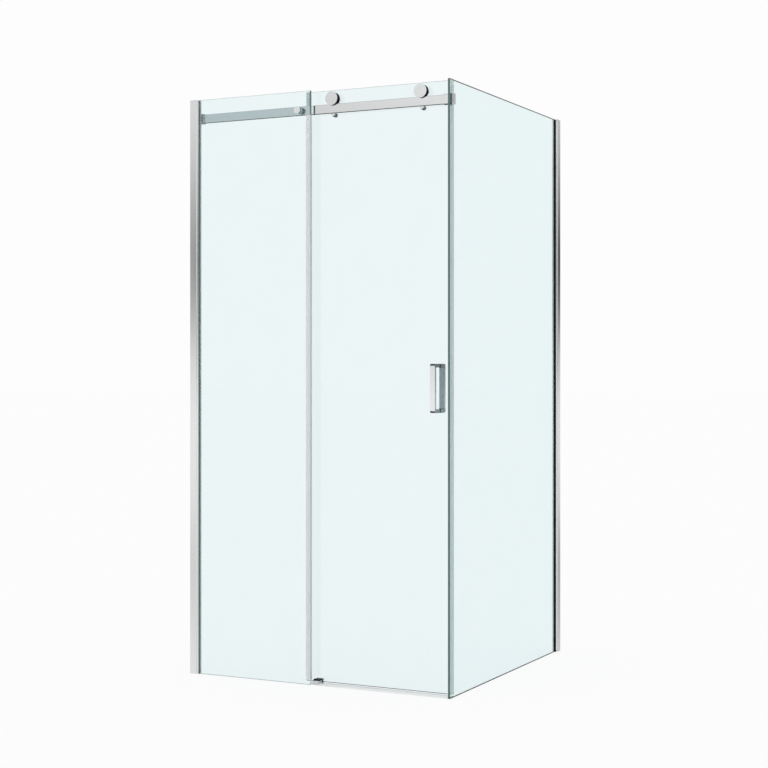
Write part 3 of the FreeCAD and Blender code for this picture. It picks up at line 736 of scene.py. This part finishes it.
def put_nut_screws():
    """Screws in the nuts behind the rollers and behind the lugs below them."""
    lug_nuts = Box("anti_lift_nuts")
    roller_screw_back = Box("roller_nuts").high.y - NUT_SCREW_SEAT
    lug_screw_back = lug_nuts.high.y - NUT_SCREW_SEAT
    for number, wheel in enumerate(("roller_wheel_left", "roller_wheel_right")):
        middle = Box(wheel).middle
        screw = dome(*ROLLER_SCREW_HEAD) + [ROLLER_SCREW_LIP]
        put(f"roller_screw_{number}", turned_mesh("roller_screw", screw, ROLLER_SCREW_SOCKET), "chrome",
            DOOR, (middle.x, roller_screw_back, middle.z), BACKWARD)
        put(f"lug_screw_{number}", turned_mesh("lug_screw", dome(*LUG_SCREW_HEAD)), "chrome",
            DOOR, (middle.x, lug_screw_back, lug_nuts.middle.z), BACKWARD)


def put_profile_screws():
    """Screws that fix the adjusting profiles, on the side of each wall channel that faces inwards."""
    left, right = Box("wall_channel_left"), Box("wall_channel_right")
    for number, share in enumerate(PROFILE_SCREW_SHARES):
        z = cad_box[1][2] * share
        places = (("left", (left.middle.x, left.high.y - SCREW_SEAT, z), BACKWARD),
                  ("right", (right.low.x + SCREW_SEAT, right.middle.y, z), LEFTWARD))
        for side, place, axis in places:
            head = turned_mesh("profile_screw", dome(*PROFILE_SCREW_HEAD))
            put(f"profile_screw_{side}_{number}", head, "steel", ENCLOSURE, place, axis)


def put_grub_screws():
    """Set screws in the undersides of the rail's end block, its wall socket and the inner handle."""
    block, socket, handle = Box("rail_end_block"), Box("rail_wall_socket"), Box("handle_inner")
    left_inset, right_inset = BLOCK_GRUB_INSETS
    for name, body, carrier, x, y in (
            ("block_grub_left", ENCLOSURE, block, block.low.x + left_inset, block.middle.y),
            ("block_grub_right", ENCLOSURE, block, block.low.x + right_inset, block.middle.y),
            ("socket_grub", ENCLOSURE, socket, socket.high.x - SOCKET_GRUB_INSET, socket.middle.y),
            ("handle_grub", DOOR, handle, handle.middle.x, handle.low.y + HANDLE_GRUB_INSET)):
        put(name, turned_mesh(name, GRUB_SCREW, GRUB_SOCKET), "steel", body,
            (x, y, carrier.low.z + SCREW_SEAT), DOWNWARD)


def put_stud_sleeves():
    """Black plastic sleeves round the handle's studs, in the holes of the glass."""
    glass, studs = Box("door_glass"), Box("handle_studs")
    inner = STUD_RADIUS + STUD_SLEEVE_GAP
    length = (glass.high.y - glass.low.y) / MILLIMETRE - 2 * STUD_SLEEVE_GAP
    tube = [(inner, 0.0), (STUD_SLEEVE_RADIUS, 0.0), (STUD_SLEEVE_RADIUS, length), (inner, length)]
    front = glass.low.y + STUD_SLEEVE_GAP * MILLIMETRE
    reach = STUD_RADIUS * MILLIMETRE
    for number, z in enumerate((studs.low.z + reach, studs.high.z - reach)):
        put(f"handle_sleeve_{number}", turned_mesh("handle_sleeve", tube, closed=True), "black_rubber",
            DOOR, (studs.middle.x, front, z), BACKWARD)


def put_block_sleeve():
    """Soft black sleeve round the rail's end block, beside the return panel."""
    block = Box("rail_end_block")
    middle = block.middle / MILLIMETRE
    half = (block.high - block.low) / 2 / MILLIMETRE
    right = block.high.x / MILLIMETRE - BLOCK_SLEEVE_SETBACK
    left = right - BLOCK_SLEEVE_LENGTH
    cut = BLOCK_SLEEVE_CUT
    rings = []
    for x, inset in ((left, BLOCK_SLEEVE_WALL), (left, 0.0), (right, 0.0), (right, BLOCK_SLEEVE_WALL)):
        wide = half.y + BLOCK_SLEEVE_OUTSET - inset
        tall = half.z + BLOCK_SLEEVE_OUTSET - inset
        outline = [(-wide + cut, -tall), (wide - cut, -tall), (wide, -tall + cut), (wide, tall - cut),
                   (wide - cut, tall), (-wide + cut, tall), (-wide, tall - cut), (-wide, -tall + cut)]
        rings.append([(x, middle.y + across, middle.z + up) for across, up in outline])
    mesh = mesh_from_rings("end_block_sleeve", rings, closed=True)
    bevel = put("end_block_sleeve", mesh, "black_rubber", ENCLOSURE).modifiers.new("bevel", "BEVEL")
    bevel.width = BLOCK_SLEEVE_ROUNDING * MILLIMETRE
    bevel.segments = BLOCK_SLEEVE_SEGMENTS


# Floor, light and camera
def make_floor():
    """Pale floor. Seen by the camera or through glass it is nearly as light as the backdrop."""
    mesh = bpy.data.meshes.new("floor")
    corners = [(-FLOOR_HALF, -FLOOR_HALF, 0), (FLOOR_HALF, -FLOOR_HALF, 0),
               (FLOOR_HALF, FLOOR_HALF, 0), (-FLOOR_HALF, FLOOR_HALF, 0)]
    mesh.from_pydata(corners, [], [(0, 1, 2, 3)])
    floor = bpy.data.objects.new("floor", mesh)
    floor.location.z = -FLOOR_DROP
    floor.visible_glossy = False
    scene.collection.objects.link(floor)
    shader = Shader("floor", roughness=0.9, specular=0.0)
    shader.principled.inputs["Base Color"].default_value = (*FLOOR_COLOUR, 1)
    glow = shader.add("ShaderNodeEmission")
    glow.inputs["Strength"].default_value = BACKGROUND_LEVEL
    path = shader.add("ShaderNodeLightPath")
    seen = shader.maths("MAXIMUM", path.outputs["Is Camera Ray"], path.outputs["Is Transmission Ray"])
    share = shader.maths("MULTIPLY", seen, FLOOR_GLOW_SHARE)
    shader.show(shader.mix_shaders(share, shader.principled.outputs["BSDF"], glow.outputs["Emission"]))
    mesh.materials.append(shader.material)


def mirrored_level(nodes):
    """Level that metal mirrors in each direction: soft dark bands, deeper towards the back."""
    coordinates = nodes.add("ShaderNodeTexCoord")
    split = nodes.add("ShaderNodeSeparateXYZ")
    nodes.link(coordinates.outputs["Generated"], split.inputs[0])
    heights = [(math.sin(math.radians(elevation)), level) for elevation, level in MIRRORED_LEVELS]
    level = nodes.maths("MULTIPLY", nodes.level_ramp(split.outputs["Z"], heights),
                        nodes.level_ramp(split.outputs["X"], SIDEWAYS_SHARES))
    deeper = nodes.maths("MULTIPLY", nodes.maths("POWER", level, BACKWARD_POWER), BACKWARD_SHARE)
    change = nodes.maths("MULTIPLY", nodes.maths("SUBTRACT", deeper, level),
                         nodes.level_ramp(split.outputs["Y"], BACKWARD_MASK))
    return nodes.maths("ADD", level, change)


def make_world():
    """White studio. Metal mirrors soft dark bands, also through glass. All else sees white."""
    world = bpy.data.worlds.new("studio")
    scene.world = world
    world.use_nodes = True
    nodes = Nodes(world.node_tree)
    nodes.tree.nodes.clear()

    def background(level):
        node = nodes.add("ShaderNodeBackground")
        node.inputs["Color"].default_value = (1, 1, 1, 1)
        node.inputs["Strength"].default_value = level
        return node

    backdrop = background(BACKGROUND_LEVEL)
    ambient = background(AMBIENT_LEVEL)
    mirrored = background(1.0)
    nodes.link(mirrored_level(nodes), mirrored.inputs["Color"])
    path = nodes.add("ShaderNodeLightPath")
    lit = nodes.mix_shaders(path.outputs["Is Glossy Ray"], ambient.outputs[0], mirrored.outputs[0])
    white = nodes.maths("MAXIMUM", path.outputs["Is Camera Ray"], path.outputs["Is Transmission Ray"])
    white = nodes.maths("MAXIMUM", white, path.outputs["Is Singular Ray"])
    # A ray that a metal mirrors and that glass lets through both ways sees what the metal mirrors
    from_metal = nodes.maths("GREATER_THAN", path.outputs["Glossy Depth"], MIRRORED_DEPTH)
    both_ways = nodes.maths("GREATER_THAN", path.outputs["Transmission Depth"], RETURNED_DEPTH)
    returned = nodes.maths("MULTIPLY", nodes.maths("MULTIPLY", from_metal, both_ways),
                           path.outputs["Is Transmission Ray"])
    white = nodes.maths("SUBTRACT", white, returned)
    output = nodes.add("ShaderNodeOutputWorld")
    nodes.link(nodes.mix_shaders(white, lit, backdrop.outputs[0]), output.inputs["Surface"])


def make_lamp():
    sun = bpy.data.lights.new("sky_lamp", "SUN")
    sun.energy = LAMP_LEVEL
    sun.angle = math.radians(LAMP_SPREAD_DEGREES)
    lamp = bpy.data.objects.new("sky_lamp", sun)
    lamp.rotation_euler = [math.radians(angle) for angle in LAMP_TILT_DEGREES]
    lamp.visible_glossy = False
    scene.collection.objects.link(lamp)


def make_camera():
    data = bpy.data.cameras.new("camera")
    data.sensor_width = SENSOR_WIDTH
    data.lens = FOCAL_PIXELS / PHOTO_SIDE * SENSOR_WIDTH
    data.shift_y = (HORIZON_PIXEL - PHOTO_SIDE / 2) / PHOTO_SIDE
    data.clip_start, data.clip_end = CAMERA_REACH
    camera = bpy.data.objects.new("camera", data)
    camera.location = CAMERA_PLACE
    camera.rotation_euler = (math.radians(90), 0, CAMERA_YAW)
    scene.collection.objects.link(camera)
    scene.camera = camera


dress_nodes()
put_nut_screws()
put_profile_screws()
put_grub_screws()
put_stud_sleeves()
put_block_sleeve()
make_floor()
make_world()
make_lamp()
make_camera()
scene.view_settings.view_transform = "Standard"
